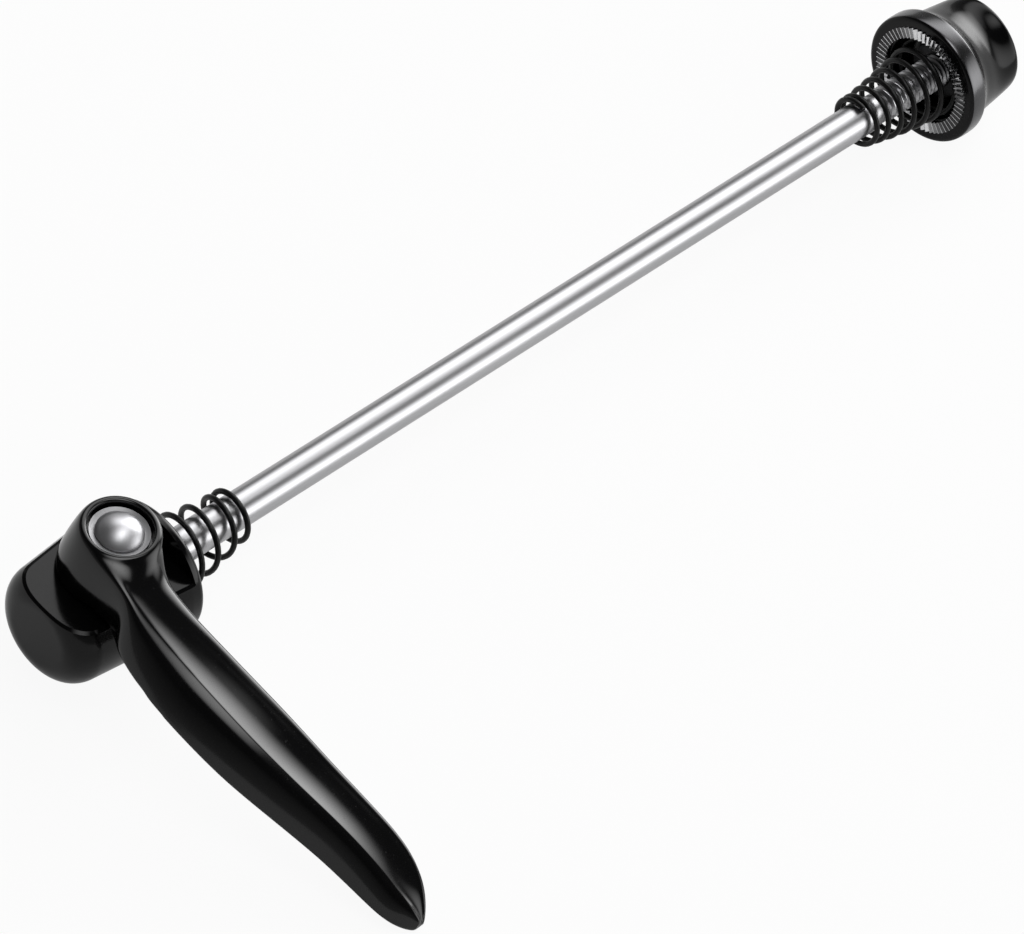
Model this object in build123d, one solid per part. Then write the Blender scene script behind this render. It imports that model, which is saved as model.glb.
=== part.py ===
from build123d import *
import os
from math import cos, pi, radians, sin

# Quick release skewer for a bicycle wheel, in millimetres.
# The origin is on the rod's axis in the plane of the housing's clamp rim.
# +X runs along the rod to the adjusting nut, and +Z is the lever's pivot axis, up as it lies.

# Fits
SEAT_FIT = 0.02           # radial gap of pieces that are pressed or seated together
RUNNING_FIT = 0.05        # radial gap of pieces that turn or slide on each other
FACE_GAP = 0.1            # gap between flat faces that turn past each other

# Rod
ROD_RADIUS = 2.5
NECK_RADIUS = 2.2         # thinner stretch between the plain rod and the thread
THREAD_RADIUS = 2.45
NECK_LENGTH = 3.5
THREAD_LENGTH = 17.6
ROD_STAND = 1.0           # thread past the nut's insert, with the lever closed
ROD_CHAMFER = 0.6

# Cam shaft
CAM_RADIUS = 3.3
CAM_THROW = 1.0           # the cam's distance from the pivot axis
CAM_HALF_HEIGHT = 3.2
UPPER_JOURNAL_RADIUS = 4.45
LOWER_JOURNAL_RADIUS = 2.15
DRIVE_WIDTH = 5.6         # square that carries the lever
STEM_RADIUS = 2.0
DOME_RADIUS = 3.2
DOME_EDGE = 0.3
DOME_RISE = 1.5
SEAL_SECTION_RADIUS = 0.22
CLIP_GROOVE_DEPTH = 0.4
CLIP_THICKNESS = 0.5
CLIP_RADIUS = 3.3
CLIP_OPENING = 2.6
SHAFT_TAIL = 0.5          # shaft below its clip

# Rod eye
EYE_WALL = 1.7
EYE_HALF_HEIGHT = 3.0
CAM_LINEAR_ERROR = 0.2105 # largest gap between a cosine throw and an even one, as a share of the throw

# Housing
CLAMP_TO_PIVOT = 8.8      # clamp rim to pivot axis
PIVOT_TO_END = 11.5       # pivot axis to the closed end
RIM_RADIUS = 9.65         # also the height at which the rod lies
RIM_LAND = 2.2
RIM_ROUND = 1.0
END_RADIUS = 8.0
END_ROUND = 4.0
LEVER_SEAT = 5.2          # height of the flat under the lever
LEVER_SEAT_ROUND = 0.6
SEAT_CHAMFER = 0.3        # broken edge round the seat
CAVITY_CORNER = 0.8
CAVITY_SIDE_GAP = 0.3
CAVITY_END_GAP = 0.4
GUIDE_LENGTH = 1.4

# Bushes, seal, clip and cap
BUSH_WALL = 0.7
BUSH_FLANGE_RADIUS = 6.5
BUSH_FLANGE = 0.7
FAR_BUSH_WALL = 1.0
FAR_BUSH_LENGTH = 2.7
CAP_RADIUS = 3.6
CAP_THICKNESS = 0.6
CAP_DEPTH = 7.4           # height of the cap's inner face below the rod's axis

# Toothed rings
TEETH = 60
TOOTH_LAND = 0.12         # share of the pitch left flat at the tip
TOOTH_DEPTH = 0.45
TOOTH_STAND = 0.35        # tips above the clamp rim
RING_OUTER_RADIUS = 8.05
RING_WIDTH = 1.55
RING_DEPTH = 0.8          # ring below the clamp rim

# Lever
BOSS_RADIUS = 7.1         # at its foot
BOSS_WAIST = 9.5          # height where its flank leans in further
BOSS_WAIST_RADIUS = 6.55
BOSS_TOP = 13.65
BOSS_TOP_RADIUS = 5.6
BOSS_BEND = 14.0          # bend of the flank at the waist
BOSS_ROUND = 0.9
LEVER_GAP = 0.2           # lever's underside above its seat
LEVER_SWING_GAP = 0.25    # boss to the wall round its seat
RECESS_RADIUS = 4.31
RECESS_DEPTH = 1.45
WASHER_THICKNESS = 0.4
WASHER_RADIUS = 3.98
WASHER_LIP = 0.2
BLADE_REACH = 58.4        # pivot axis to the lever's tip
# Each station of the blade: its share of the reach, its two sides, and the heights of its crest,
# its lip and its underside.
BLADE_STATIONS = [
    (0.04, -5.4, 4.9, 12.0, 11.7, 6.0),
    (0.13, -7.4, 3.5, 11.1, 10.3, 6.0),
    (0.22, -9.1, 2.3, 9.7, 8.9, 5.7),
    (0.34, -8.8, 2.2, 7.6, 6.7, 2.2),
    (0.51, -7.2, 3.4, 4.9, 3.6, -1.1),
    (0.64, -5.0, 4.9, 2.2, 0.8, -3.5),
    (0.76, -2.7, 6.3, -0.3, -1.9, -6.0),
    (0.86, -1.3, 6.6, -2.6, -4.2, -8.0),
    (0.94, -0.5, 5.4, -4.6, -6.1, -9.1),
    (0.98, 0.6, 4.0, -6.0, -7.0, -9.2),
    (1.00, 1.7, 2.9, -7.2, -7.5, -8.6),
]
BLADE_SLICES = 26
CREST_PLACE = 0.38        # share of the width from the outer side
VALLEY_PLACE = 0.80
HEEL_PLACE = 0.08
SOLE_PLACE = 0.33
KEEL_PLACE = 0.59
VALLEY_DEPTH = 0.09       # share of the section's depth
EDGE_HEIGHT = 0.22
SHOULDER_HEIGHT = 0.50

# Springs
WIRE_RADIUS = 0.4
WIRE_SIDES = 8
STEPS_PER_TURN = 18
SPRING_RIM_GAP = 0.6      # wide turn to the toothed ring round it
SPRING_NARROW_RADIUS = 3.5  # to the middle of the wire
SPRING_SAG = 0.7          # how far the middle coils hang below the rod's axis
SPRING_END_SAG = 0.3
CLOSED_TURNS = 1.0        # flat turns at each end
LEVER_SPRING_LENGTH = 15.2
LEVER_SPRING_TURNS = 5.7
LEVER_SPRING_START = 165  # degrees about the rod from +Y to the wide end of the wire
NUT_SPRING_LENGTH = 17.0
NUT_SPRING_TURNS = 8.1
NUT_SPRING_START = 116

# Nut
CLAMP_SPAN = 146.6        # between the two clamp rims
FLANGE_WIDTH = 2.8
FLANGE_SLOPE = 2.4        # width of the slope behind the flange
SLOPE_RADIUS = 7.9        # at the slope's foot
NUT_RIM_ROUND = 0.5
# Each section of the grip: its place from the clamp rim, and its half sizes across and along the wings.
GRIP_SECTIONS = [
    (4.0, 8.4, 8.4),
    (6.6, 7.2, 8.1),
    (9.0, 6.1, 7.8),
    (11.4, 6.3, 7.5),
    (12.8, 6.8, 7.2),
]
GRIP_ROUND = 0.7
GRIP_TURN = 25.5          # degrees about the rod from +Y to the wings
NUT_RECESS_STEP = 0.1     # recess inside the toothed ring
NUT_RECESS_DEPTH = 3.0
INSERT_RADIUS = 4.0
INSERT_LENGTH = 5.0
LOCK_RING_LENGTH = 1.6
NUT_BOTTOM_GAP = 1.2

# Worked-out places
PIVOT_X = -CLAMP_TO_PIVOT
EYE_X = PIVOT_X - CAM_THROW
EYE_HALF_LENGTH = CAM_RADIUS + RUNNING_FIT + CAM_LINEAR_ERROR * CAM_THROW
EYE_HALF_WIDTH = CAM_RADIUS + RUNNING_FIT + CAM_THROW
CAVITY_HALF_WIDTH = EYE_HALF_WIDTH + EYE_WALL + CAVITY_SIDE_GAP
CAVITY_HALF_HEIGHT = EYE_HALF_HEIGHT + CAVITY_SIDE_GAP
CAVITY_BACK = EYE_X - EYE_HALF_LENGTH - EYE_WALL - CAVITY_END_GAP
RING_INNER_RADIUS = RING_OUTER_RADIUS - RING_WIDTH
SPRING_WIDE_RADIUS = RING_INNER_RADIUS - SPRING_RIM_GAP - WIRE_RADIUS
SPRING_SEAT_X = -RING_DEPTH
NUT_SPRING_SEAT_X = CLAMP_SPAN + NUT_RECESS_DEPTH
ROD_END_X = NUT_SPRING_SEAT_X + INSERT_LENGTH + ROD_STAND
LEVER_BOTTOM = LEVER_SEAT + LEVER_GAP
JOURNAL_TOP = LEVER_SEAT + BUSH_FLANGE + FACE_GAP
RECESS_FLOOR = BOSS_TOP - RECESS_DEPTH
DOME_BASE = RECESS_FLOOR + WASHER_THICKNESS
FAR_BUSH_TOP = -CAM_HALF_HEIGHT - FACE_GAP
CLIP_SEAT = FAR_BUSH_TOP - FAR_BUSH_LENGTH
CLIP_TOP = CLIP_SEAT - FACE_GAP
SHAFT_END = CLIP_TOP - CLIP_THICKNESS - SHAFT_TAIL


def across_rod(x, outline):
    """Place a flat outline at x, square to the rod, with its first axis along +Y."""
    return Plane(origin=(x, 0, 0), x_dir=(0, 1, 0), z_dir=(1, 0, 0)) * outline


def along_rod(outline, x_start, x_end):
    """A prism along the rod between two places."""
    return extrude(across_rod(x_start, outline), amount=x_end - x_start)


def on_pivot(radius, bottom, top):
    """A cylinder on the pivot axis between two heights."""
    return Pos(PIVOT_X, 0, (bottom + top) / 2) * Cylinder(radius, top - bottom)


def turned_on_pivot(*edges):
    """A turned solid on the pivot axis from an outline of radius and height."""
    return Pos(PIVOT_X, 0, 0) * revolve(Plane.XZ * make_face(edges), Axis.Z)


def turned_on_rod(*edges):
    """A turned solid on the rod's axis from an outline of place and radius."""
    return revolve(make_face(edges), Axis.X)


def housing():
    """Barrel with a rounded end, a flat seat for the lever, an eye cavity and a cross bore."""
    end = PIVOT_X - PIVOT_TO_END
    outline = FilletPolyline(
        (0, 0), (0, RIM_RADIUS), (-RIM_LAND, RIM_RADIUS), (end, END_RADIUS), (end, 0),
        radius=[RIM_ROUND, RIM_LAND, END_ROUND],
    )
    body = turned_on_rod(outline, Line((end, 0), (0, 0)))
    seat_wall = PIVOT_X + BOSS_RADIUS + LEVER_SWING_GAP
    seat_top = LEVER_SEAT + RIM_RADIUS
    body -= Pos((end + seat_wall) / 2, 0, (LEVER_SEAT + seat_top) / 2) * Box(
        seat_wall - end, 2 * RIM_RADIUS, seat_top - LEVER_SEAT
    )
    seat = body.faces().filter_by(Axis.Z).sort_by(Axis.Z)[-1]
    body = chamfer(seat.edges().sort_by(Axis.X)[:-1], SEAT_CHAMFER)
    cavity = RectangleRounded(2 * CAVITY_HALF_WIDTH, 2 * CAVITY_HALF_HEIGHT, CAVITY_CORNER)
    body -= along_rod(cavity, CAVITY_BACK, 0)
    body -= along_rod(Circle(RING_OUTER_RADIUS + SEAT_FIT), -RING_DEPTH, RIM_RADIUS)
    near_bore = UPPER_JOURNAL_RADIUS + RUNNING_FIT + BUSH_WALL + SEAT_FIT
    body -= on_pivot(near_bore, 0, seat_top)
    body -= on_pivot(LOWER_JOURNAL_RADIUS + RUNNING_FIT + FAR_BUSH_WALL + SEAT_FIT, CLIP_SEAT, 0)
    body -= on_pivot(CAP_RADIUS + SEAT_FIT, -2 * RIM_RADIUS, CLIP_SEAT)
    return body


def toothed_ring():
    """Clamp ring that faces +X at the housing's rim, with teeth that narrow towards its middle."""
    ring = along_rod(Circle(RING_OUTER_RADIUS) - Circle(RING_INNER_RADIUS), -RING_DEPTH, TOOTH_STAND)
    half_angle = (1 - TOOTH_LAND) * pi / TEETH
    reach = 2 * RING_OUTER_RADIUS
    apex = (TOOTH_STAND, 0, 0)
    root = (TOOTH_STAND - TOOTH_DEPTH * reach / RING_OUTER_RADIUS, reach, 0)
    left = (TOOTH_STAND, reach, reach * half_angle)
    right = (TOOTH_STAND, reach, -reach * half_angle)
    corners = [(apex, left, root), (apex, root, right), (apex, right, left), (left, right, root)]
    groove = Solid(Shell([make_face(Polyline(*three, close=True)).face() for three in corners]))
    return ring - [Rot(X=360 * tooth / TEETH) * groove for tooth in range(TEETH)]


def rod_guide():
    """Plug in the cavity's mouth, behind the toothed ring."""
    outline = RectangleRounded(
        2 * (CAVITY_HALF_WIDTH - SEAT_FIT), 2 * (CAVITY_HALF_HEIGHT - SEAT_FIT), CAVITY_CORNER
    )
    return along_rod(outline - Circle(ROD_RADIUS + RUNNING_FIT), -RING_DEPTH - GUIDE_LENGTH, -RING_DEPTH)


def near_cam_bush():
    """Flanged bush under the lever."""
    inner = UPPER_JOURNAL_RADIUS + RUNNING_FIT
    bush = on_pivot(inner + BUSH_WALL, CAVITY_HALF_HEIGHT, LEVER_SEAT)
    bush += on_pivot(BUSH_FLANGE_RADIUS, LEVER_SEAT, LEVER_SEAT + BUSH_FLANGE)
    return bush - on_pivot(inner, 0, BOSS_TOP)


def far_cam_bush():
    """Plain bush in the lower wall."""
    inner = LOWER_JOURNAL_RADIUS + RUNNING_FIT
    return on_pivot(inner + FAR_BUSH_WALL, CLIP_SEAT, FAR_BUSH_TOP) - on_pivot(inner, CLIP_SEAT, 0)


def cam_shaft():
    """Shaft with two journals, an off-centre cam, a square drive and a domed head."""
    shaft = on_pivot(LOWER_JOURNAL_RADIUS, SHAFT_END, 0)
    shaft += Pos(-CAM_THROW, 0, 0) * on_pivot(CAM_RADIUS, -CAM_HALF_HEIGHT, CAM_HALF_HEIGHT)
    shaft += on_pivot(UPPER_JOURNAL_RADIUS, CAM_HALF_HEIGHT, JOURNAL_TOP)
    drive = Rectangle(DRIVE_WIDTH, DRIVE_WIDTH)
    shaft += Pos(PIVOT_X, 0, JOURNAL_TOP) * extrude(drive, amount=RECESS_FLOOR - JOURNAL_TOP)
    shaft += on_pivot(STEM_RADIUS, RECESS_FLOOR, DOME_BASE)
    edge_top = DOME_BASE + DOME_EDGE
    cap_radius = (DOME_RADIUS**2 + DOME_RISE**2) / (2 * DOME_RISE)
    shaft += turned_on_pivot(
        Polyline((0, edge_top + DOME_RISE), (0, DOME_BASE), (DOME_RADIUS, DOME_BASE), (DOME_RADIUS, edge_top)),
        RadiusArc((DOME_RADIUS, edge_top), (0, edge_top + DOME_RISE), -cap_radius),
    )
    groove_bottom = UPPER_JOURNAL_RADIUS - 2 * SEAL_SECTION_RADIUS
    seal_height = (CAVITY_HALF_HEIGHT + LEVER_SEAT) / 2
    groove_half = SEAL_SECTION_RADIUS + RUNNING_FIT
    seal_groove = on_pivot(2 * UPPER_JOURNAL_RADIUS, seal_height - groove_half, seal_height + groove_half)
    shaft -= seal_groove - on_pivot(groove_bottom, 0, BOSS_TOP)
    clip_groove = on_pivot(2 * CLIP_RADIUS, CLIP_TOP - CLIP_THICKNESS, CLIP_TOP)
    return shaft - (clip_groove - on_pivot(LOWER_JOURNAL_RADIUS - CLIP_GROOVE_DEPTH, SHAFT_END, 0))


def shaft_seal():
    """Rubber ring in the upper journal's groove."""
    seal_height = (CAVITY_HALF_HEIGHT + LEVER_SEAT) / 2
    middle = UPPER_JOURNAL_RADIUS - SEAL_SECTION_RADIUS + SEAT_FIT
    return Pos(PIVOT_X, 0, seal_height) * Torus(middle, SEAL_SECTION_RADIUS)


def shaft_clip():
    """Open spring clip at the shaft's lower end."""
    inner = LOWER_JOURNAL_RADIUS - CLIP_GROOVE_DEPTH + SEAT_FIT
    outline = Circle(CLIP_RADIUS) - Circle(inner)
    outline -= Pos(CLIP_RADIUS / 2, 0) * Rectangle(CLIP_RADIUS, CLIP_OPENING)
    return Pos(PIVOT_X, 0, CLIP_TOP - CLIP_THICKNESS) * extrude(outline, amount=CLIP_THICKNESS)


def dust_cap():
    """Disc that closes the cross bore from below."""
    return on_pivot(CAP_RADIUS, -CAP_DEPTH - CAP_THICKNESS, -CAP_DEPTH)


def blade_station(share):
    """The blade's sides and heights at a share of its reach, on a smooth curve through the stations."""
    last = len(BLADE_STATIONS) - 1
    low = max(i for i in range(last) if BLADE_STATIONS[i][0] <= share)
    before, start, end, after = (BLADE_STATIONS[min(max(low + i, 0), last)] for i in (-1, 0, 1, 2))
    span = end[0] - start[0]
    t = (share - start[0]) / span
    values = []
    for a, b, c, d in zip(before[1:], start[1:], end[1:], after[1:]):
        slope_in = (c - a) / (end[0] - before[0]) * span
        slope_out = (d - b) / (after[0] - start[0]) * span
        rise = c - b
        values.append(b + t * (slope_in + t * (3 * rise - 2 * slope_in - slope_out
                                               + t * (slope_in + slope_out - 2 * rise))))
    return values


def blade_section(share):
    """Closed outline of the blade at a share of its reach, square to its length."""
    outer, inner, crest, lip, underside = blade_station(share)
    width = inner - outer
    depth = crest - underside
    points = [
        (outer + width * HEEL_PLACE, underside),
        (outer, underside + depth * SHOULDER_HEIGHT),
        (outer + width * CREST_PLACE, crest),
        (outer + width * VALLEY_PLACE, lip - depth * VALLEY_DEPTH),
        (inner, lip),
        (inner - width * HEEL_PLACE, underside + depth * EDGE_HEIGHT),
        (outer + width * KEEL_PLACE, underside),
        (outer + width * SOLE_PLACE, underside),
    ]
    plane = Plane(origin=(PIVOT_X, -share * BLADE_REACH, 0), x_dir=(1, 0, 0), z_dir=(0, -1, 0))
    return plane * make_face(Spline(*points, periodic=True))


def blade():
    """Blade from inside the boss to the tip, in slices that close up towards the tip."""
    root = BLADE_STATIONS[0][0]
    shares = [root + (1 - root) * sin(pi / 2 * i / BLADE_SLICES) for i in range(BLADE_SLICES + 1)]
    return loft([blade_section(share) for share in shares], ruled=True)


def lever():
    """Boss with a recess for the domed head and a blade that sweeps down to its tip."""
    boss = turned_on_pivot(
        FilletPolyline(
            (0, LEVER_BOTTOM), (BOSS_RADIUS, LEVER_BOTTOM), (BOSS_WAIST_RADIUS, BOSS_WAIST),
            (BOSS_TOP_RADIUS, BOSS_TOP), (0, BOSS_TOP),
            radius=[LEVER_SEAT_ROUND, BOSS_BEND, BOSS_ROUND],
        ),
        Line((0, BOSS_TOP), (0, LEVER_BOTTOM)),
    )
    body = boss + blade()
    body -= on_pivot(RECESS_RADIUS, RECESS_FLOOR, 2 * BOSS_TOP)
    body -= on_pivot(BUSH_FLANGE_RADIUS + LEVER_GAP, 0, JOURNAL_TOP)
    drive = Rectangle(DRIVE_WIDTH + 2 * SEAT_FIT, DRIVE_WIDTH + 2 * SEAT_FIT)
    return body - Pos(PIVOT_X, 0, 0) * extrude(drive, amount=BOSS_TOP)


def pivot_washer():
    """Dished ring under the domed head."""
    hole = STEM_RADIUS + SEAT_FIT
    top = DOME_BASE
    return turned_on_pivot(
        Polyline(
            (hole, RECESS_FLOOR), (WASHER_RADIUS, RECESS_FLOOR), (WASHER_RADIUS, top + WASHER_LIP),
            (DOME_RADIUS + SEAT_FIT, top), (hole, top), close=True,
        )
    )


def skewer_rod():
    """Rod with an eye for the cam, a neck and a threaded end."""
    eye = SlotCenterToCenter(
        2 * (EYE_HALF_WIDTH - EYE_HALF_LENGTH), 2 * (EYE_HALF_LENGTH + EYE_WALL), rotation=90
    )
    slot = SlotCenterToCenter(2 * (EYE_HALF_WIDTH - EYE_HALF_LENGTH), 2 * EYE_HALF_LENGTH, rotation=90)
    thread_start = ROD_END_X - THREAD_LENGTH
    neck_start = thread_start - NECK_LENGTH
    rod = Pos(EYE_X, 0, 0) * extrude(eye, amount=EYE_HALF_HEIGHT, both=True)
    rod += turned_on_rod(
        Polyline(
            (EYE_X, 0), (EYE_X, ROD_RADIUS), (neck_start, ROD_RADIUS),
            (neck_start + ROD_CHAMFER, NECK_RADIUS), (thread_start, NECK_RADIUS),
            (thread_start, THREAD_RADIUS), (ROD_END_X - ROD_CHAMFER, THREAD_RADIUS),
            (ROD_END_X, THREAD_RADIUS - ROD_CHAMFER), (ROD_END_X, 0), close=True,
        )
    )
    return rod - Pos(EYE_X, 0, 0) * extrude(slot, amount=2 * EYE_HALF_HEIGHT, both=True)


def spring(length, turns, start):
    """Conical left-hand spring from its wide seat at x = 0 to its narrow end, flat at both ends."""
    closed_rise = 2 * (WIRE_RADIUS + RUNNING_FIT)
    open_turns = turns - 2 * CLOSED_TURNS
    open_rise = (length - 2 * WIRE_RADIUS - 2 * CLOSED_TURNS * closed_rise) / open_turns
    sections = []
    for step in range(round(turns * STEPS_PER_TURN) + 1):
        turn = step / STEPS_PER_TURN
        opened = min(max(turn - CLOSED_TURNS, 0), open_turns)
        share = opened / open_turns
        x = WIRE_RADIUS + (turn - opened) * closed_rise + opened * open_rise
        radius = SPRING_WIDE_RADIUS + (SPRING_NARROW_RADIUS - SPRING_WIDE_RADIUS) * share
        sag = 4 * SPRING_SAG * share * (1 - share) + SPRING_END_SAG * share
        angle = radians(start) - 2 * pi * turn
        middle = (x, radius * cos(angle), radius * sin(angle) - sag)
        outward = (0, cos(angle), sin(angle))
        along = (0, sin(angle), -cos(angle))
        wire = Plane(origin=middle, x_dir=outward, z_dir=along) * RegularPolygon(WIRE_RADIUS, WIRE_SIDES)
        sections.append(wire)
    return loft(sections, ruled=True)


def nut_body():
    """Adjusting nut: a flange with a ring seat and a spring recess, and a grip with two hollow sides."""
    flange_back = CLAMP_SPAN + FLANGE_WIDTH
    slope_foot = flange_back + FLANGE_SLOPE
    outline = FilletPolyline(
        (CLAMP_SPAN, 0), (CLAMP_SPAN, RIM_RADIUS), (flange_back, RIM_RADIUS), (slope_foot, SLOPE_RADIUS),
        (slope_foot, 0),
        radius=[NUT_RIM_ROUND, NUT_RIM_ROUND, 0],
    )
    flange = turned_on_rod(outline, Line((slope_foot, 0), (CLAMP_SPAN, 0)))
    sections = [
        across_rod(CLAMP_SPAN + place, Ellipse(along, across, rotation=GRIP_TURN))
        for place, across, along in GRIP_SECTIONS
    ]
    grip = loft(sections)
    grip = fillet(grip.edges().group_by(Axis.X)[-1], GRIP_ROUND)
    body = flange + grip
    body -= along_rod(Circle(RING_OUTER_RADIUS + SEAT_FIT), 0, CLAMP_SPAN + RING_DEPTH)
    body -= along_rod(Circle(RING_INNER_RADIUS - NUT_RECESS_STEP), 0, NUT_SPRING_SEAT_X)
    bore_end = NUT_SPRING_SEAT_X + INSERT_LENGTH + LOCK_RING_LENGTH + NUT_BOTTOM_GAP
    return body - along_rod(Circle(INSERT_RADIUS + SEAT_FIT), 0, bore_end)


def nut_bush(start, length):
    """A bush in the nut's bore, from a place behind the spring seat."""
    outline = Circle(INSERT_RADIUS) - Circle(THREAD_RADIUS + RUNNING_FIT)
    return along_rod(outline, NUT_SPRING_SEAT_X + start, NUT_SPRING_SEAT_X + start + length)


PIECES = {
    "housing": housing(),
    "lever_clamp_ring": toothed_ring(),
    "rod_guide": rod_guide(),
    "near_cam_bush": near_cam_bush(),
    "far_cam_bush": far_cam_bush(),
    "cam_shaft": cam_shaft(),
    "shaft_seal": shaft_seal(),
    "shaft_clip": shaft_clip(),
    "dust_cap": dust_cap(),
    "lever": lever(),
    "pivot_washer": pivot_washer(),
    "skewer_rod": skewer_rod(),
    "lever_spring": Pos(SPRING_SEAT_X, 0, 0)
    * spring(LEVER_SPRING_LENGTH, LEVER_SPRING_TURNS, LEVER_SPRING_START),
    "nut_spring": Pos(NUT_SPRING_SEAT_X, 0, 0) * Rot(Z=180)
    * spring(NUT_SPRING_LENGTH, NUT_SPRING_TURNS, NUT_SPRING_START),
    "nut_body": nut_body(),
    "nut_clamp_ring": Pos(CLAMP_SPAN, 0, 0) * Rot(Z=180) * toothed_ring(),
    "nut_insert": nut_bush(0, INSERT_LENGTH),
    "nut_lock_ring": nut_bush(INSERT_LENGTH, LOCK_RING_LENGTH),
}

os.makedirs("parts", exist_ok=True)
for name, piece in PIECES.items():
    export_step(piece, f"parts/{name}.step")
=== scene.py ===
from math import atan2, cos, pi, radians, sin

import bmesh
import bpy
from mathutils import Matrix, Vector


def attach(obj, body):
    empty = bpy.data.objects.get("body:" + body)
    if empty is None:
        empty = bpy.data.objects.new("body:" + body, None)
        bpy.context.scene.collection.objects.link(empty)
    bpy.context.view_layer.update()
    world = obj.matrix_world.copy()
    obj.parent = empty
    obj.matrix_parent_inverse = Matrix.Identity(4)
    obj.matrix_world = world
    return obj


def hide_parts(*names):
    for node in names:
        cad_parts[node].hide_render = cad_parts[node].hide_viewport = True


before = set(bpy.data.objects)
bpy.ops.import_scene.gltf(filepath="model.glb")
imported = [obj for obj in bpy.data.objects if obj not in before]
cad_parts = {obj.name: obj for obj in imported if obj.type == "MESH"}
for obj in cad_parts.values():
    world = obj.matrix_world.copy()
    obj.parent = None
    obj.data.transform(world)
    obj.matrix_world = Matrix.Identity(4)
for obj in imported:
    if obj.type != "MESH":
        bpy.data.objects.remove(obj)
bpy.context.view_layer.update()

# Housing: a forged alloy barrel with a rounded closed end, a flat milled for the lever and a rim that
# clamps the dropout. It is sprayed gloss black over all, a thick even coat with a faint orange peel.
MM = 0.001


class Tone:
    """One output of a finish's nodes: sums on it add Math nodes, and node() adds any other node."""

    def __init__(self, tree, socket=None):
        self.tree = tree
        self.socket = socket

    def node(self, kind, settings=None, sockets=None, out=0):
        """Add a node with its settings, then its sockets' values or links, and give one output."""
        made = self.tree.nodes.new(kind)
        for name, value in (settings or {}).items():
            if name == "stops":
                while len(made.color_ramp.elements) < len(value):
                    made.color_ramp.elements.new(0.5)
                for element, (place, colour) in zip(made.color_ramp.elements, value):
                    element.position = place
                    element.color = colour
            else:
                setattr(made, name, value)
        for name, value in (sockets or {}).items():
            if isinstance(value, Tone):
                self.tree.links.new(value.socket, made.inputs[name])
            else:
                made.inputs[name].default_value = value
        return Tone(self.tree, made.outputs[out] if made.outputs else None)

    def sum(self, operation, *values):
        """Add a Math node on values or outputs."""
        return self.node("ShaderNodeMath", {"operation": operation}, dict(enumerate(values)))

    def __add__(self, other):
        return self.sum("ADD", self, other)

    def __sub__(self, other):
        return self.sum("SUBTRACT", self, other)

    def __mul__(self, other):
        return self.sum("MULTIPLY", self, other)

    def __rsub__(self, other):
        return self.sum("SUBTRACT", other, self)

    __radd__ = __add__
    __rmul__ = __mul__


def new_finish(name):
    """An empty material and the Tone that its nodes are made from."""
    material = bpy.data.materials.new(name)
    material.use_nodes = True
    material.node_tree.nodes.clear()
    return material, Tone(material.node_tree)


def grain(tone, place, scale, detail=2.0, stretch=(1, 1, 1)):
    """Even noise from 0 to 1 at a scale in turns a metre, drawn out where an axis has a small stretch."""
    laid = tone.node("ShaderNodeVectorMath", {"operation": "MULTIPLY"}, {0: place, 1: stretch})
    return tone.node("ShaderNodeTexNoise", None, {"Vector": laid, "Scale": scale, "Detail": detail})


def between(tone, share, low, high):
    """A colour that goes from low to high with a share from 0 to 1."""
    stops = [(0.0, (*low, 1)), (1.0, (*high, 1))]
    return tone.node("ShaderNodeValToRGB", {"stops": stops}, {"Fac": share})


def relief(tone, height, strength, depth):
    """A normal raised by a height from 0 to 1 over a depth in metres."""
    return tone.node("ShaderNodeBump", None, {"Height": height, "Strength": strength, "Distance": depth})


def coat_on(tone, **sockets):
    """Put a Principled surface with these sockets on the finish."""
    named = {name.replace("_", " "): value for name, value in sockets.items()}
    surface = tone.node("ShaderNodeBsdfPrincipled", None, named)
    tone.node("ShaderNodeOutputMaterial", None, {"Surface": surface})


DEEP_BLACK = (0.0010, 0.0010, 0.0011)
DUSTY_BLACK = (0.0034, 0.0034, 0.0036)


def dust(tone, place):
    """Specks of dust: 1 on a speck and 0 between them."""
    fine = grain(tone, place, 2600, 2)
    return tone.node("ShaderNodeMapRange", None, {"Value": fine, "From Min": 0.66, "From Max": 0.74})


def black_gloss(name, shine):
    """Sprayed black of a given shine, with orange peel, faint hairlines and a breath of dust."""
    material, tone = new_finish(name)
    place = tone.node("ShaderNodeTexCoord", out="Object")
    cloud = grain(tone, place, 90, 3)
    peel = grain(tone, place, 900, 1)
    hairline = grain(tone, place, 700, 4, (1, 0.06, 1))
    speck = dust(tone, place)
    coat_on(
        tone,
        Base_Color=between(tone, cloud * 0.7 + speck * 0.3, DEEP_BLACK, DUSTY_BLACK),
        Roughness=0.07 + cloud * 0.05 + hairline * 0.05 + speck * 0.12,
        Specular_IOR_Level=shine,
        Normal=relief(tone, peel * 0.75 + hairline * 0.25, 0.06, 0.00003),
    )
    return material


def put(name, form, body, material, node, smooth=40):
    """Make a piece of a shaped form, shade it smooth up to an angle, and let it stand for its CAD node."""
    for face in form.faces:
        face.smooth = True
    for edge in form.edges:
        edge.smooth = len(edge.link_faces) == 2 and edge.calc_face_angle() < radians(smooth)
    mesh = bpy.data.meshes.new(name)
    form.to_mesh(mesh)
    form.free()
    mesh.materials.append(material)
    piece = bpy.data.objects.new(name, mesh)
    bpy.context.scene.collection.objects.link(piece)
    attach(piece, body)
    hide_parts(node)
    return piece


def joined_copy(node):
    """A node's own shape with its loose triangles joined."""
    form = bmesh.new()
    form.from_mesh(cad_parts[node].data)
    bmesh.ops.remove_doubles(form, verts=form.verts, dist=1e-7)
    for face in form.faces:
        face.material_index = 0
    return form


def even_shading(piece):
    """Weigh a piece's normals by area, so that flats stay flat beside their rounds."""
    weighing = piece.modifiers.new("even shading", "WEIGHTED_NORMAL")
    weighing.keep_sharp = True
    weighing.weight = 80


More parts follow.
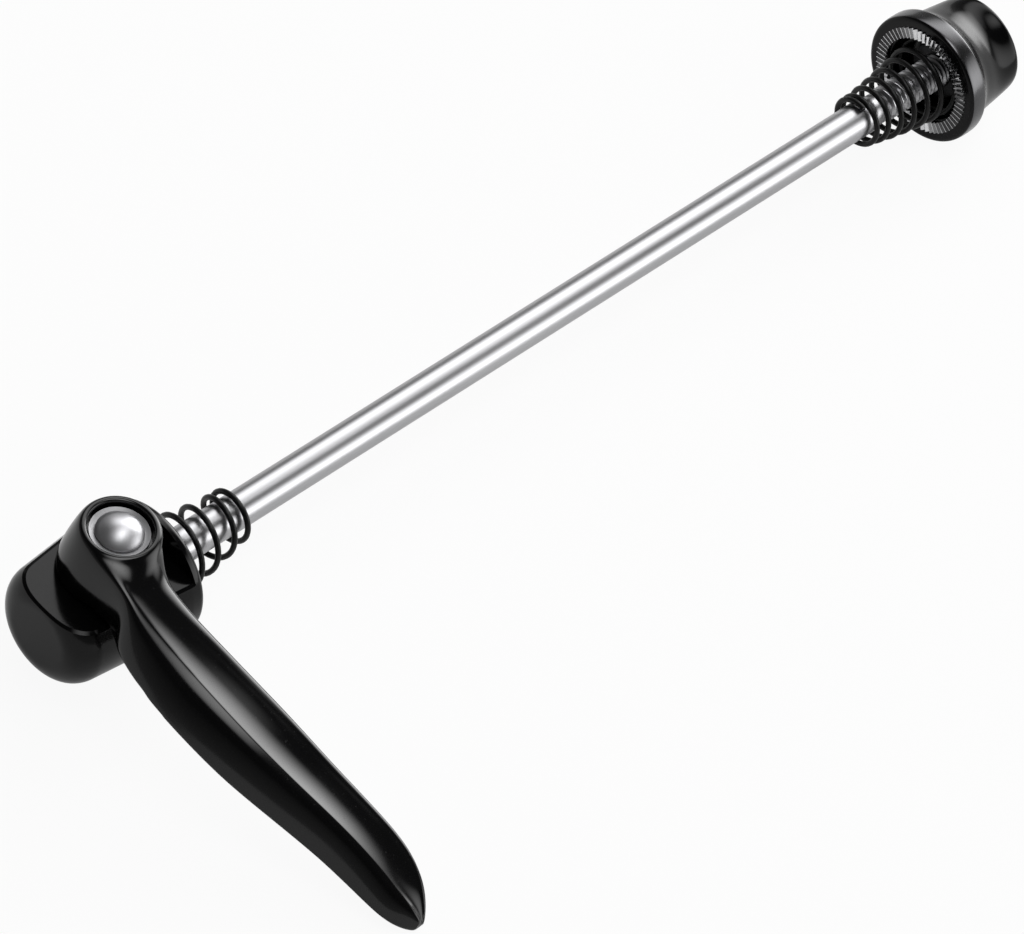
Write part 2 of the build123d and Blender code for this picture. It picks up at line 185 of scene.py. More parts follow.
barrel_paint = black_gloss("black_gloss_barrel", shine=0.20)
barrel = put("barrel", joined_copy("housing"), "housing", barrel_paint, "housing", smooth=22)
even_shading(barrel)

# Toothed clamp rings: hardened steel rings pressed into both rims, with sixty coined teeth that bite
# the dropouts. They are bright plated, with fine scratches from use.
ring_steel, tone = new_finish("plated_ring_steel")
place = tone.node("ShaderNodeTexCoord", out="Object")
cloud = grain(tone, place, 700, 3)
scratch = grain(tone, place, 4200, 3)
coat_on(
    tone,
    Base_Color=between(tone, cloud * 0.6 + scratch * 0.4, (0.45, 0.45, 0.46), (0.90, 0.90, 0.91)),
    Metallic=1.0,
    Roughness=0.06 + cloud * 0.06 + scratch * 0.05,
    Normal=relief(tone, scratch, 0.08, 0.00001),
)
for node in ("lever_clamp_ring", "nut_clamp_ring"):
    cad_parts[node].data.materials.clear()
    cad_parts[node].data.materials.append(ring_steel)

# Bearings: a guide plug for the rod in the housing's mouth, a flanged bush under the lever and a plain
# bush below. All three are turned from dark filled nylon and pressed in dry.
bearing_plastic, tone = new_finish("filled_nylon")
place = tone.node("ShaderNodeTexCoord", out="Object")
fleck = grain(tone, place, 3000, 4)
turning = grain(tone, place, 2500, 1, (1, 1, 6))
coat_on(
    tone,
    Base_Color=between(tone, fleck, (0.018, 0.018, 0.019), (0.045, 0.045, 0.047)),
    Roughness=0.42 + fleck * 0.2,
    Normal=relief(tone, fleck * 0.5 + turning * 0.5, 0.3, 0.00003),
)
for node in ("rod_guide", "near_cam_bush", "far_cam_bush"):
    put(node + "_nylon", joined_copy(node), "housing", bearing_plastic, node)

# Skewer rod: a 5 mm drawn steel rod with a flattened eye for the cam at one end and a rolled M5 thread
# at the other, beyond a thinner neck. It is left bare, satin from drawing, with fine lines along it.
ROD_RADIUS = 2.5 * MM
NECK_RADIUS = 2.2 * MM
NECK_START = 134.5 * MM
THREAD_START = 138.0 * MM
ROD_END = 155.6 * MM
THREAD_CREST = 2.45 * MM
THREAD_ROOT = 2.02 * MM
THREAD_PITCH = 0.8 * MM
EYE_CUT = -3.2 * MM
EDGE_BREAK = 0.3 * MM    # chamfer on the rod's end
NECK_TAPER = 0.5 * MM    # length of the step down to the neck
THREAD_RUN_IN = 0.4 * MM
ROD_FACETS = 64
THREAD_FACETS = 32
# One turn of the thread: share of the pitch, and radius.
THREAD_FORM = [(0.0, THREAD_ROOT), (0.42, THREAD_CREST), (0.58, THREAD_CREST), (1.0, THREAD_ROOT)]

satin_steel, tone = new_finish("drawn_satin_steel")
place = tone.node("ShaderNodeTexCoord", out="Object")
drawn = grain(tone, place, 2400, 3, (0.012, 1, 1))
fine = grain(tone, place, 7000, 2, (0.02, 1, 1))
cloud = grain(tone, place, 60, 3, (0.4, 1, 1))
coat_on(
    tone,
    Base_Color=between(tone, drawn * 0.5 + cloud * 0.5, (0.36, 0.36, 0.37), (0.50, 0.50, 0.51)),
    Metallic=1.0,
    Roughness=0.24 + drawn * 0.08 + cloud * 0.06,
    Normal=relief(tone, drawn * 0.6 + fine * 0.4, 0.22, 0.00002),
)

form = joined_copy("skewer_rod")
whole = form.verts[:] + form.edges[:] + form.faces[:]
bmesh.ops.bisect_plane(form, geom=whole, plane_co=(EYE_CUT, 0, 0), plane_no=(1, 0, 0), clear_outer=True)


def turned(form, outline, turns, facets, pitch=0.0):
    """Turn an outline of places along the rod and radii about the rod, as a screw where it has a pitch."""
    corners = [form.verts.new((x, radius, 0)) for x, radius in outline]
    edges = [form.edges.new(pair) for pair in zip(corners, corners[1:])]
    bmesh.ops.spin(
        form, geom=corners + edges, cent=(0, 0, 0), axis=(1, 0, 0), angle=2 * pi * turns,
        steps=facets * turns, dvec=(pitch / facets, 0, 0), use_merge=not pitch,
    )


shank = [
    (EYE_CUT, ROD_RADIUS), (NECK_START, ROD_RADIUS), (NECK_START + NECK_TAPER, NECK_RADIUS),
    (THREAD_START - THREAD_RUN_IN, NECK_RADIUS), (THREAD_START, THREAD_ROOT),
    (ROD_END - EDGE_BREAK, THREAD_ROOT), (ROD_END, THREAD_ROOT - EDGE_BREAK), (ROD_END, 0.0),
]
turned(form, shank, 1, ROD_FACETS)
thread_turns = round((ROD_END - THREAD_START) / THREAD_PITCH) - 1
ridge = [(THREAD_START + share * THREAD_PITCH, radius) for share, radius in THREAD_FORM]
turned(form, ridge, thread_turns, THREAD_FACETS, THREAD_PITCH)
bmesh.ops.remove_doubles(form, verts=form.verts, dist=1e-7)
bmesh.ops.recalc_face_normals(form, faces=form.faces)
put("rod", form, "rod", satin_steel, "skewer_rod", smooth=28)

# Cam shaft: a turned and case-hardened steel shaft with an off-centre cam, two journals and a domed
# head that shows in the lever's boss. The head is brushed satin, with a fine round lay.
PIVOT = Vector((-8.8 * MM, 0, 0))


def round_lay(tone, place, scale, detail):
    """Fine rings about the pivot's axis, as brushing or turning leaves them, from 0 to 1."""
    centred = tone.node("ShaderNodeVectorMath", {"operation": "SUBTRACT"}, {0: place, 1: PIVOT})
    flat = tone.node("ShaderNodeVectorMath", {"operation": "MULTIPLY"}, {0: centred, 1: (1, 1, 0)})
    reach = tone.node("ShaderNodeVectorMath", {"operation": "LENGTH"}, {0: flat}, out="Value")
    sockets = {"W": reach, "Scale": scale, "Detail": detail}
    return tone.node("ShaderNodeTexNoise", {"noise_dimensions": "1D"}, sockets)


shaft_steel, tone = new_finish("brushed_shaft_steel")
place = tone.node("ShaderNodeTexCoord", out="Object")
lay = round_lay(tone, place, 9000, 3)
cloud = grain(tone, place, 320, 3)
pit = grain(tone, place, 5000, 2)
coat_on(
    tone,
    Base_Color=between(tone, cloud * 0.6 + pit * 0.4, (0.40, 0.40, 0.41), (0.58, 0.58, 0.60)),
    Metallic=1.0,
    Roughness=0.34 + cloud * 0.10 + pit * 0.06,
    Normal=relief(tone, lay * 0.5 + pit * 0.5, 0.2, 0.00002),
)
form = joined_copy("cam_shaft")
shaft = put("cam_shaft_steel", form, "lever", shaft_steel, "cam_shaft", smooth=30)
even_shading(shaft)

# Seal, clip and cap: a rubber ring in the shaft's groove, a stamped spring clip that holds the shaft
# from below, and a moulded cap that closes the cross bore against dirt.
seal_rubber, tone = new_finish("seal_rubber")
place = tone.node("ShaderNodeTexCoord", out="Object")
bloom = grain(tone, place, 1500, 3)
coat_on(
    tone,
    Base_Color=between(tone, bloom, (0.012, 0.012, 0.012), (0.030, 0.030, 0.030)),
    Roughness=0.6 + bloom * 0.2,
    Normal=relief(tone, bloom, 0.2, 0.00003),
)
put("seal_rubber_ring", joined_copy("shaft_seal"), "lever", seal_rubber, "shaft_seal")
clip_steel, tone = new_finish("blued_clip_steel")
place = tone.node("ShaderNodeTexCoord", out="Object")
bluing = grain(tone, place, 800, 3)
coat_on(
    tone,
    Base_Color=between(tone, bluing, (0.20, 0.21, 0.23), (0.36, 0.36, 0.37)),
    Metallic=1.0,
    Roughness=0.25 + bluing * 0.2,
    Normal=relief(tone, bluing, 0.15, 0.00002),
)
put("clip_steel_ring", joined_copy("shaft_clip"), "lever", clip_steel, "shaft_clip")
cap_plastic, tone = new_finish("moulded_cap_plastic")
place = tone.node("ShaderNodeTexCoord", out="Object")
spark = grain(tone, place, 4000, 2)
coat_on(
    tone,
    Base_Color=between(tone, spark, (0.012, 0.012, 0.013), (0.026, 0.026, 0.027)),
    Roughness=0.45 + spark * 0.15,
    Normal=relief(tone, spark, 0.4, 0.00004),
)
put("cap_disc", joined_copy("dust_cap"), "housing", cap_plastic, "dust_cap")

# Lever: a forged alloy lever, a round boss on the square drive and a blade that sweeps down from it,
# with a crest along its back, a hollow beside it and a thin lip on its inner edge. Sprayed gloss black.
BOSS_SIDES = 16
TIGHT = 1 / (2 / 3 + cos(2 * pi / BOSS_SIDES) / 3)  # a ring starts wider, because smoothing draws it in
# Radius and height of the boss's corners in millimetres: up its bore, over its rim and down to its foot.
BOSS_OUTLINE = [
    (3.97, 6.0), (3.97, 12.2), (4.31, 12.2), (4.31, 13.42), (4.52, 13.64), (5.02, 13.66), (5.55, 13.20),
    (6.55, 9.30), (7.08, 6.40), (7.0, 5.42), (6.7, 5.42), (6.7, 6.0),
]
CRISP_CORNERS = (0, 1, 2, 10, 11)  # of the bore, the washer's seat and the foot
BLADE_TOP = 6                      # corner where the blade leaves the boss above
BLADE_BOTTOM = 8                   # and below
BLADE_REACH = 58.4                 # millimetres from the pivot to the tip
# Share of the reach, outer and inner side, heights of crest, lip, underside and outer bottom edge, the
# crest's place across the width, and the radius that the inner edge is rolled to.
BLADE_STATIONS = [
    (0.13, -6.8, 1.6, 12.3, 11.8, 5.5, 5.5, 0.12, 2.1),
    (0.17, -8.8, 1.5, 11.4, 10.85, 5.4, 5.4, 0.30, 2.0),
    (0.22, -9.3, 1.7, 10.2, 9.5, 4.9, 4.9, 0.355, 1.8),
    (0.34, -9.1, 2.85, 7.7, 6.8, 2.2, 3.0, 0.385, 1.5),
    (0.51, -7.5, 4.25, 4.9, 3.8, -1.1, -0.1, 0.35, 1.3),
    (0.64, -5.3, 5.4, 2.2, 1.0, -3.5, -2.4, 0.33, 1.15),
    (0.76, -3.0, 6.5, -0.4, -1.4, -6.0, -4.8, 0.315, 1.0),
    (0.86, -1.6, 7.05, -2.85, -3.55, -8.0, -6.8, 0.32, 0.8),
    (0.94, -0.7, 5.95, -4.9, -5.45, -9.1, -8.0, 0.36, 0.6),
    (0.98, 0.6, 4.4, -6.0, -6.9, -9.2, -8.6, 0.40, 0.4),
    (1.00, 1.7, 3.1, -7.2, -7.5, -8.6, -8.4, 0.45, 0.2),
]
BLADE_SHARES = [
    0.13, 0.17, 0.22, 0.28, 0.34, 0.40, 0.46, 0.52, 0.58, 0.64,
    0.70, 0.76, 0.81, 0.86, 0.90, 0.94, 0.97, 0.99, 1.0,
]
# Corners of the outer wall: shares of the way out from the crest, and of the way down to the bottom edge.
WALL_SHOULDER = (0.38, 0.10)
WALL_FLANK = (0.78, 0.58)
# The facet from the crest to the bottom of the hollow: shares of the way across, and of the fall.
FACET = [(0.22, 0.39), (0.46, 0.71), (0.72, 0.92), (1.0, 1.0)]
HOLLOW_DEPTH = 0.1   # under the lip, in millimetres
# The hollow's bottom and the rolled lip's corners, in from the inner edge and down from the lip, in radii.
HOLLOW_INSET = 1.6
LIP_TOP = (1.1, 0.06)
LIP_EDGE = 0.1
LIP_SHED = 0.15      # how far down the lip's edge is
NECK_SHED = 0.55     # and how much farther where the blade leaves the boss
NECK_END = 0.3       # share of the reach where the neck is over
LIP_SIDE = (-0.15, 1.3)
# Corners below the lip and along the underside: shares of the width, and of the height.
INNER_FLANK = (0.02, 0.38)
UNDERSIDE_CORNERS = 8
UNDERSIDE_INSET = 0.10
UNDERSIDE_STEP = 0.105
UNDERSIDE_RISE = 0.10
UNDERSIDE_FALL = 0.018
# Rise of the neck's corners over a straight run from the boss, from the outer wall on, in millimetres.
NECK_RISES = [0.15, 0.15, 0.0, -0.1, -0.1, 0.0]
NECK_RISE_BEYOND = 0.1
CREST_CREASE = 0.55
HEEL_CREASE = 0.6
FLANK_CREASE = 0.25
CREASE_FADE_IN = 4   # loops from the neck
CREASE_FADE_OUT = 3  # loops before the tip


def blade_station(share):
    """The blade's sides, heights and crest at a share of its reach, on a smooth curve."""
    last = len(BLADE_STATIONS) - 1
    low = max(i for i in range(last) if BLADE_STATIONS[i][0] <= share)
    before, start, end, after = (BLADE_STATIONS[min(max(low + i, 0), last)] for i in (-1, 0, 1, 2))
    span = end[0] - start[0]
    t = (share - start[0]) / span
    values = []
    for a, b, c, d in zip(before[1:], start[1:], end[1:], after[1:]):
        slope_in = (c - a) / (end[0] - before[0]) * span
        slope_out = (d - b) / (after[0] - start[0]) * span
        rise = c - b
        square = 3 * rise - 2 * slope_in - slope_out
        cube = slope_in + slope_out - 2 * rise
        values.append(b + t * (slope_in + t * (square + t * cube)))
    return values


def blade_loop(share):
    """Places round the blade: over the top from the outer side to the lip, and back underneath."""
    outer, inner, crest, lip, under, heel, crest_place, roll = blade_station(share)
    width, depth, wall = inner - outer, crest - under, crest - heel
    ridge = outer + crest_place * width
    side = ridge - outer
    run = inner - HOLLOW_INSET * roll - ridge
    fall = crest - lip + HOLLOW_DEPTH
    shed = LIP_SHED + NECK_SHED * max(0.0, 1 - share / NECK_END)
    shoulder = (ridge - WALL_SHOULDER[0] * side, crest - WALL_SHOULDER[1] * wall)
    flank = (ridge - WALL_FLANK[0] * side, crest - WALL_FLANK[1] * wall)
    facet = [(ridge + across * run, crest - down * fall) for across, down in FACET]
    lip_corners = (LIP_TOP, (LIP_EDGE, shed), LIP_SIDE)
    rolled = [(inner - across * roll, lip - down * roll) for across, down in lip_corners]
    inner_flank = (inner - INNER_FLANK[0] * width, under + INNER_FLANK[1] * (lip - under))
    underside = []
    for i in range(UNDERSIDE_CORNERS):
        inset = UNDERSIDE_INSET + i * UNDERSIDE_STEP
        rise = UNDERSIDE_RISE - i * UNDERSIDE_FALL
        underside.append((inner - inset * width, under + rise * depth))
    path = [shoulder, (ridge, crest), *facet, *rolled, inner_flank, *underside, (outer, heel), flank]
    return [PIVOT + MM * Vector((u, -share * BLADE_REACH, z)) for u, z in path]


def turn_about_pivot(vertex):
    """A vertex's angle about the pivot, from 0 up to a full turn."""
    spot = vertex.co - PIVOT
    return round(atan2(spot.y, spot.x), 4) % (2 * pi)


def round_edges(form, loop):
    """The edges of a closed loop of vertices."""
    return [form.edges.get(pair) for pair in zip(loop, loop[1:] + loop[:1])]


def advance(form, loop, places):
    """Extrude a closed loop of vertices and move its new vertices to their places."""
    made = bmesh.ops.extrude_edge_only(form, edges=round_edges(form, loop))["geom"]
    fresh = {item for item in made if isinstance(item, bmesh.types.BMVert)}
    ahead = [next(e.other_vert(v) for e in v.link_edges if e.other_vert(v) in fresh) for v in loop]
    for vertex, place in zip(ahead, places):
        vertex.co = place
    return ahead


# The boss is a band of rings, bridged one to the next.
form = bmesh.new()
crease = form.edges.layers.float.new("crease_edge")
rows = []
for radius, height in BOSS_OUTLINE:
    ring = bmesh.ops.create_circle(
        form, segments=BOSS_SIDES, radius=radius * TIGHT * MM,
        matrix=Matrix.Translation(PIVOT + Vector((0, 0, height * MM))),
    )["verts"]
    rows.append(sorted(ring, key=turn_about_pivot))
for row, following in zip(rows, rows[1:] + rows[:1]):
    bmesh.ops.bridge_loops(form, edges=round_edges(form, row) + round_edges(form, following))
for corner in CRISP_CORNERS:
    for edge in round_edges(form, rows[corner]):
        edge[crease] = 1.0
# Its front half opens between two rings, and the blade is drawn out of the opening, loop by loop.
half = BOSS_SIDES // 2
front = rows[BLADE_TOP][half:] + rows[BLADE_TOP][:1]
back = rows[BLADE_BOTTOM][half:] + rows[BLADE_BOTTOM][:1]
middle = rows[BLADE_TOP + 1]
loop = front + [middle[0]] + back[::-1] + [middle[half]]
inside = set(middle[half + 1:])
opened = [face for face in form.faces if any(v in inside for v in face.verts)]
bmesh.ops.delete(form, geom=opened, context="FACES")
root = [v.co.copy() for v in loop]
first = blade_loop(BLADE_SHARES[0])
rises = NECK_RISES + [NECK_RISE_BEYOND] * (len(root) - len(NECK_RISES))
halfway = [a.lerp(b, 0.5) + Vector((0, 0, rise * MM)) for a, b, rise in zip(root, first, rises)]
loops = [advance(form, loop, halfway)]
for share in BLADE_SHARES:
    loops.append(advance(form, loops[-1], blade_loop(share)))
# The last loop closes across, and the crest and the outer bottom edge stay sharp along the blade.
tip = loops[-1]
heel = len(tip) - 2
flank = len(tip) - 1
for i in range(half):
    bmesh.ops.contextual_create(form, geom=[tip[i], tip[i + 1], tip[heel - 1 - i], tip[heel - i]])
bmesh.ops.contextual_create(form, geom=[tip[half], tip[half + 1], tip[half + 2]])
bmesh.ops.contextual_create(form, geom=[tip[0], tip[heel], tip[flank]])
lengths = list(zip(loops[1:], loops[2:]))
for k, (near, far) in enumerate(lengths):
    fade = min(1.0, k / CREASE_FADE_IN) * min(1.0, (len(lengths) - 1 - k) / CREASE_FADE_OUT)
    for index, share in ((1, CREST_CREASE), (heel, HEEL_CREASE), (flank, FLANK_CREASE)):
        form.edges.get((near[index], far[index]))[crease] = share * fade
bmesh.ops.recalc_face_normals(form, faces=form.faces)
lever_paint = black_gloss("black_gloss_lever", shine=0.38)
lever = put("lever_forging", form, "lever", lever_paint, "lever", smooth=180)
rounding = lever.modifiers.new("rounding", "SUBSURF")
rounding.levels = rounding.render_levels = 3

# Pivot washer: a dished ring pressed from bright alloy, seated in the boss under the shaft's domed head.
# Its dish is turned, so fine rings run round it.
washer_alloy, tone = new_finish("turned_washer_alloy")
place = tone.node("ShaderNodeTexCoord", out="Object")
lay = round_lay(tone, place, 12000, 2)
cloud = grain(tone, place, 500, 3)
coat_on(
    tone,
    Base_Color=between(tone, cloud * 0.5 + lay * 0.5, (0.16, 0.16, 0.165), (0.28, 0.28, 0.285)),
    Metallic=1.0,
    Roughness=0.30 + lay * 0.14 + cloud * 0.06,
    Normal=relief(tone, lay, 0.3, 0.00002),
)
form = joined_copy("pivot_washer")
put("washer_ring", form, "lever", washer_alloy, "pivot_washer", smooth=25)

# Springs: two conical springs wound from 0.8 mm wire, with a close turn at both ends, that push the clamp
# rims apart. The wire is blackened and semi-gloss, with a fine grain and cut ends.
WIRE_RADIUS = 0.4     # millimetres, as all sizes of the springs
SPRING_WIDE = 5.5     # radius to the middle of the wire
SPRING_NARROW = 3.5
SPRING_SAG = 0.7      # of the middle turns
SPRING_END_SAG = 0.3  # of the narrow end
CLOSED_TURNS = 1.0    # at each end
CLOSED_RISE = 0.9     # along one closed turn
STEPS_A_TURN = 40
spring_black, tone = new_finish("blackened_spring_wire")
place = tone.node("ShaderNodeTexCoord", out="Object")
cloud = grain(tone, place, 600, 3)
fine = grain(tone, place, 5000, 3)
coat_on(
    tone,
    Base_Color=between(tone, cloud * 0.6 + fine * 0.4, (0.0015, 0.0015, 0.0015), (0.005, 0.005, 0.005)),
    Roughness=0.24 + cloud * 0.12 + fine * 0.08,
    Specular_IOR_Level=0.2,
    Normal=relief(tone, fine, 0.2, 0.00002),
)


def wound(name, body, node, seat, heading, length, turns, start):
    """Wind a conical left-hand spring from its wide seat towards its narrow end."""
    open_turns = turns - 2 * CLOSED_TURNS
    open_rise = (length - 2 * WIRE_RADIUS - 2 * CLOSED_TURNS * CLOSED_RISE) / open_turns
    line = bpy.data.curves.new(name + "_line", "CURVE")
    line.dimensions = "3D"
    line.bevel_depth = WIRE_RADIUS * MM
    line.bevel_resolution = 4
    line.use_fill_caps = True
    steps = round(turns * STEPS_A_TURN)
    wire = line.splines.new("POLY")
    wire.points.add(steps)
    for step, point in enumerate(wire.points):
        turn = turns * step / steps
        opened = min(max(turn - CLOSED_TURNS, 0), open_turns)
        share = opened / open_turns
        along = WIRE_RADIUS + (turn - opened) * CLOSED_RISE + opened * open_rise
        radius = SPRING_WIDE + (SPRING_NARROW - SPRING_WIDE) * share
        sag = 4 * SPRING_SAG * share * (1 - share) + SPRING_END_SAG * share
        angle = radians(start) - 2 * pi * turn
        side = radius * cos(angle)
        rise = radius * sin(angle) - sag
        point.co = ((seat + heading * along) * MM, heading * side * MM, rise * MM, 1)
    drawn = bpy.data.objects.new(name + "_line", line)
    form = bmesh.new()
    mesh = bpy.data.meshes.new_from_object(drawn)
    form.from_mesh(mesh)
    bmesh.ops.remove_doubles(form, verts=form.verts, dist=1e-7)
    bpy.data.objects.remove(drawn)
    bpy.data.meshes.remove(mesh)
    return put(name, form, body, spring_black, node, smooth=50)


wound(
    "lever_side_spring", "housing", "lever_spring",
    seat=-0.8, heading=1, length=15.2, turns=5.7, start=165,
)
wound(
    "nut_side_spring", "nut_spring", "nut_spring",
    seat=149.6, heading=-1, length=17.0, turns=8.1, start=116,
)

# Adjusting nut: a forged alloy nut with a round flange and a grip with two hollow sides, sprayed gloss
# black like the housing. The flange's edge is turned back to a dark satin band.
CLAMP_SPAN = 146.6 * MM
GRIP_TURN = radians(25.5)
BAND_RADIUS = 9.54 * MM  # the flange is bare beyond this
NUT_SIDES = 64
CRISP_SECTIONS = 7       # the first ones, from the bore to the clamp face
# Place behind the clamp rim, and half sizes across and along the wings, in millimetres.
NUT_SECTIONS = [
    (10.8, 4.02, 4.02), (3.0, 4.02, 4.02), (3.0, 6.4, 6.4), (0.8, 6.4, 6.4), (0.8, 8.07, 8.07),
    (0.0, 8.07, 8.07), (0.0, 9.2, 9.2), (0.14, 9.50, 9.50), (0.45, 9.65, 9.65), (2.45, 9.65, 9.65),
    (2.70, 9.56, 9.56), (2.90, 9.30, 9.30), (3.4, 8.9, 8.9), (4.2, 8.32, 8.38), (5.2, 7.75, 8.25),
    (6.6, 7.10, 8.08), (7.8, 6.48, 7.94), (9.0, 6.10, 7.80), (10.2, 6.08, 7.65), (11.4, 6.35, 7.48),
    (12.1, 6.58, 7.34), (12.5, 6.52, 7.16), (12.72, 6.28, 6.9), (12.8, 5.9, 6.5), (12.8, 3.0, 3.2),
    (12.8, 0.6, 0.6),
]
nut_paint, tone = new_finish("black_gloss_nut")
place = tone.node("ShaderNodeTexCoord", out="Object")
across = tone.node("ShaderNodeVectorMath", {"operation": "MULTIPLY"}, {0: place, 1: (0, 1, 1)})
radius = tone.node("ShaderNodeVectorMath", {"operation": "LENGTH"}, {0: across}, out="Value")
band = tone.sum("GREATER_THAN", radius, BAND_RADIUS)
cloud = grain(tone, place, 90, 3)
peel = grain(tone, place, 900, 1)
turning = grain(tone, place, 6000, 2, (1, 0.02, 0.02))
speck = dust(tone, place)
paint = between(tone, cloud * 0.7 + speck * 0.3, DEEP_BLACK, DUSTY_BLACK)
metal = between(tone, cloud * 0.5 + turning * 0.5, (0.07, 0.07, 0.072), (0.11, 0.11, 0.113))
coat_on(
    tone,
    Base_Color=tone.node("ShaderNodeMix", {"data_type": "RGBA"}, {0: band, 6: paint, 7: metal}, out=2),
    Metallic=band,
    Roughness=0.12 + cloud * 0.06 + speck * 0.1 + band * 0.06,
    Specular_IOR_Level=0.14,
    Normal=relief(tone, peel * (1 - band) + turning * band, 0.06, 0.00003),
)
form = bmesh.new()
crease = form.edges.layers.float.new("crease_edge")
ring = bmesh.ops.create_circle(form, segments=NUT_SIDES, radius=1.0)["verts"]
around = [(v.co.x, v.co.y) for v in ring]


def nut_ring(behind, across, along):
    """Places round the nut at one section, with its wings turned about the rod."""
    spin = Matrix.Rotation(GRIP_TURN, 3, "X")
    return [
        Vector((CLAMP_SPAN, 0, 0)) + MM * (spin @ Vector((behind, along * c, across * s)))
        for c, s in around
    ]


for vertex, spot in zip(ring, nut_ring(*NUT_SECTIONS[0])):
    vertex.co = spot
rings = [ring]
for section in NUT_SECTIONS[1:]:
    rings.append(advance(form, rings[-1], nut_ring(*section)))
for cap in (rings[0], rings[-1]):
    bmesh.ops.contextual_create(form, geom=cap)
for ring in rings[:CRISP_SECTIONS]:
    for edge in round_edges(form, ring):
        edge[crease] = 1.0
bmesh.ops.recalc_face_normals(form, faces=form.faces)
nut = put("nut_forging", form, "nut", nut_paint, "nut_body", smooth=35)
rounding = nut.modifiers.new("rounding", "SUBSURF")
rounding.levels = rounding.render_levels = 2

# Nut inserts: a threaded steel insert pressed into the nut, its near-black colour painted shade of the
# nut's recess, and a white nylon ring behind it that grips the thread, so that the setting holds.
# The insert's near-black, mottled colour is painted shade, as dark as the nut's recess around it.
insert_steel_painted_shade, tone = new_finish("insert_steel_painted_shade_black")
place = tone.node("ShaderNodeTexCoord", out="Object")
shade_mottle = grain(tone, place, 900, 4)
coat_on(
    tone,
    Base_Color=between(tone, shade_mottle, (0.020, 0.020, 0.021), (0.055, 0.055, 0.057)),
    Metallic=1.0,
    Roughness=0.25 + shade_mottle * 0.2,
    Normal=relief(tone, shade_mottle, 0.2, 0.00002),
)
put("insert_bush", joined_copy("nut_insert"), "nut", insert_steel_painted_shade, "nut_insert")
lock_plastic, tone = new_finish("lock_nylon")
place = tone.node("ShaderNodeTexCoord", out="Object")
milk = grain(tone, place, 1500, 3)
coat_on(
    tone,
    Base_Color=between(tone, milk, (0.62, 0.61, 0.57), (0.78, 0.77, 0.73)),
    Roughness=0.4 + milk * 0.15,
    Normal=relief(tone, milk, 0.15, 0.00003),
)
put("lock_ring", joined_copy("nut_lock_ring"), "nut", lock_plastic, "nut_lock_ring")

# Studio: a pale floor under the skewer, four large soft lamps over it and beside it, and the camera at the
# photograph's place.
FLOOR_HEIGHT = -9.65 * MM
FLOOR_SIZE = 3.0
FLOOR_GREY = (0.66, 0.66, 0.66, 1)
WHITE = (1, 1, 1, 1)
WHITE_TO_EYE = 0.93    # share of plain white that the camera sees in the floor
WHITE_IN_SHINE = 0.35  # and that reflections see in it
floor_form = bmesh.new()
bmesh.ops.create_grid(
    floor_form, x_segments=1, y_segments=1, size=FLOOR_SIZE,
    matrix=Matrix.Translation((0, 0, FLOOR_HEIGHT)),
)
floor_mesh = bpy.data.meshes.new("floor")
floor_form.to_mesh(floor_mesh)
floor_form.free()
floor = bpy.data.objects.new("floor", floor_mesh)
bpy.context.scene.collection.objects.link(floor)
floor_white, tone = new_finish("floor_white")
straight = tone.node("ShaderNodeLightPath", out="Is Camera Ray")
shine = tone.node("ShaderNodeLightPath", out="Is Glossy Ray")
clear = tone.node("ShaderNodeLightPath", out="Is Transmission Ray")
seen = WHITE_TO_EYE * straight + WHITE_IN_SHINE * tone.sum("MAXIMUM", shine, clear)
matt = tone.node("ShaderNodeBsdfDiffuse", None, {"Color": FLOOR_GREY})
white = tone.node("ShaderNodeEmission", None, {"Color": WHITE, "Strength": 1.0})
mixed = tone.node("ShaderNodeMixShader", None, {0: seen, 1: matt, 2: white})
tone.node("ShaderNodeOutputMaterial", None, {"Surface": mixed})
floor_mesh.materials.append(floor_white)

HORIZON_LIGHT = 0.30
OVERHEAD_LIGHT = 0.05
OVERHEAD_FROM = 0.55  # height of a direction, of 1, from which the light is overhead
world = bpy.data.worlds.new("studio")
bpy.context.scene.world = world
world.use_nodes = True
world.node_tree.nodes.clear()
tone = Tone(world.node_tree)
heading = tone.node("ShaderNodeTexCoord", out="Generated")
lift = tone.node("ShaderNodeSeparateXYZ", None, {"Vector": heading}, out="Z")
heights = {"Value": lift, "From Min": 0.0, "From Max": OVERHEAD_FROM}
dusk = tone.node("ShaderNodeMapRange", None, {**heights, "To Min": HORIZON_LIGHT, "To Max": OVERHEAD_LIGHT})
background = tone.node("ShaderNodeBackground", None, {"Color": WHITE, "Strength": dusk})
tone.node("ShaderNodeOutputWorld", None, {"Surface": background})

LAMP_AIM = Vector((0.06, -0.01, 0))
LAMP_DISTANCE = 1.2


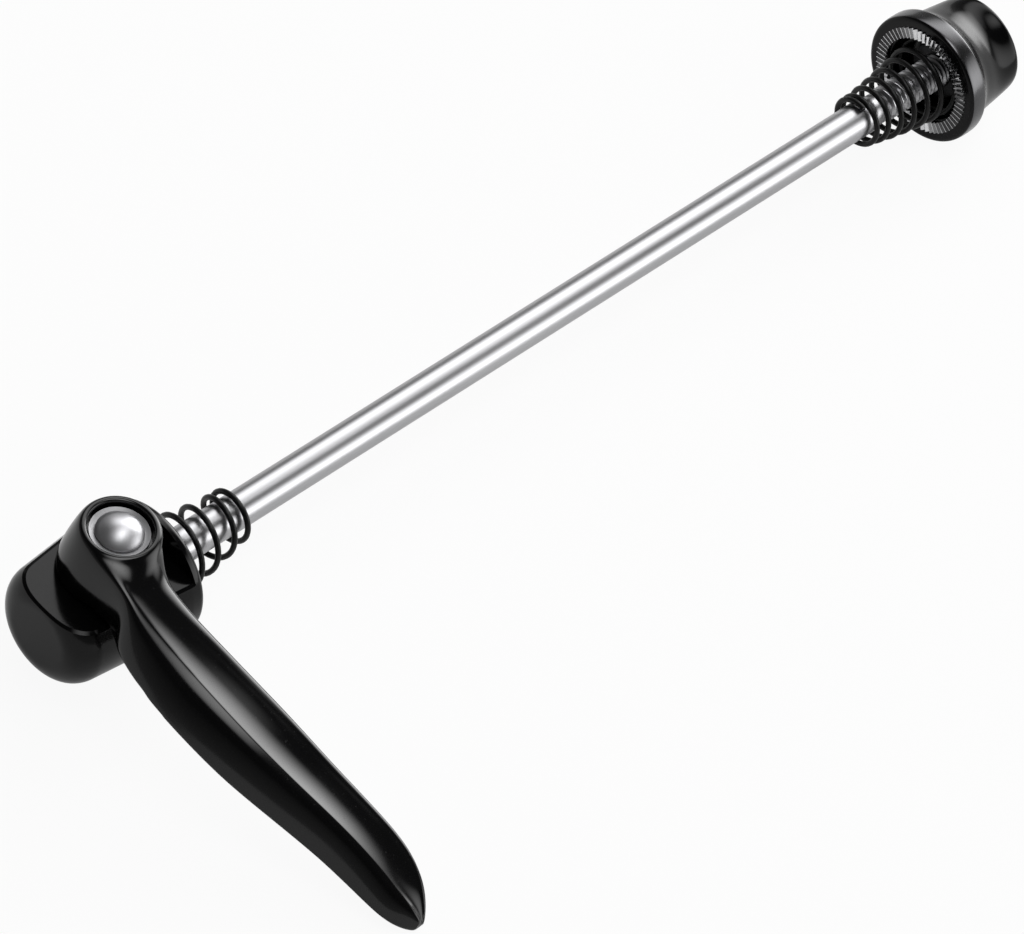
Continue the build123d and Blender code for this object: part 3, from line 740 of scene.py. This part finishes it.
def soft_lamp(name, towards, width, height, radiance):
    """A rectangular soft lamp in a direction from the skewer, facing it and fading from its middle."""
    lamp = bpy.data.lights.new(name, "AREA")
    lamp.shape = "RECTANGLE"
    lamp.size = width
    lamp.size_y = height
    lamp.energy = pi * width * height  # the power at which the node's strength is the lamp's radiance
    lamp.use_nodes = True
    lamp.node_tree.nodes.clear()
    glow = Tone(lamp.node_tree)
    spot = glow.node("ShaderNodeNewGeometry", out="Parametric")
    side = glow.node("ShaderNodeSeparateXYZ", None, {"Vector": spot}, out="X")
    rise = glow.node("ShaderNodeSeparateXYZ", None, {"Vector": spot}, out="Y")
    fade = 16 * side * (1 - side) * rise * (1 - rise)  # 1 in the middle, 0 at the edges
    light = glow.node("ShaderNodeEmission", None, {"Color": WHITE, "Strength": fade * radiance})
    glow.node("ShaderNodeOutputLight", None, {"Surface": light})
    holder = bpy.data.objects.new(name, lamp)
    direction = Vector(towards).normalized()
    holder.location = LAMP_AIM + direction * LAMP_DISTANCE
    holder.rotation_euler = direction.to_track_quat("Z", "Y").to_euler()
    holder.visible_camera = False
    bpy.context.scene.collection.objects.link(holder)


soft_lamp("far_lamp", (0.60, 0.42, 0.70), width=1.5, height=0.9, radiance=3.4)
soft_lamp("near_lamp", (0.60, -0.78, 0.24), width=1.5, height=1.2, radiance=3.4)
soft_lamp("side_lamp", (0.96, 0.135, 0.23), width=0.95, height=1.39, radiance=7.2)
soft_lamp("top_lamp", (0.02, -0.12, 0.99), width=1.3, height=0.65, radiance=5.5)

CAMERA_LENS = 258.743  # millimetres, over a sensor of the next width
SENSOR_WIDTH = 36
CAMERA_PLACE = Vector((-486.952, -347.214, 722.206)) * MM
CAMERA_RIGHT = Vector((0.697022, -0.687904, 0.202357))
CAMERA_UP = Vector((0.448212, 0.638265, 0.625879))
CAMERA_BACK = Vector((-0.559702, -0.345552, 0.753211))
camera = bpy.data.objects.new("camera", bpy.data.cameras.new("camera"))
camera.data.lens = CAMERA_LENS
camera.data.sensor_width = SENSOR_WIDTH
camera.data.clip_end = 20
turn = Matrix((CAMERA_RIGHT, CAMERA_UP, CAMERA_BACK)).transposed().to_4x4()
camera.matrix_world = Matrix.Translation(CAMERA_PLACE) @ turn
bpy.context.scene.collection.objects.link(camera)
bpy.context.scene.camera = camera
bpy.context.scene.view_settings.view_transform = "Standard"
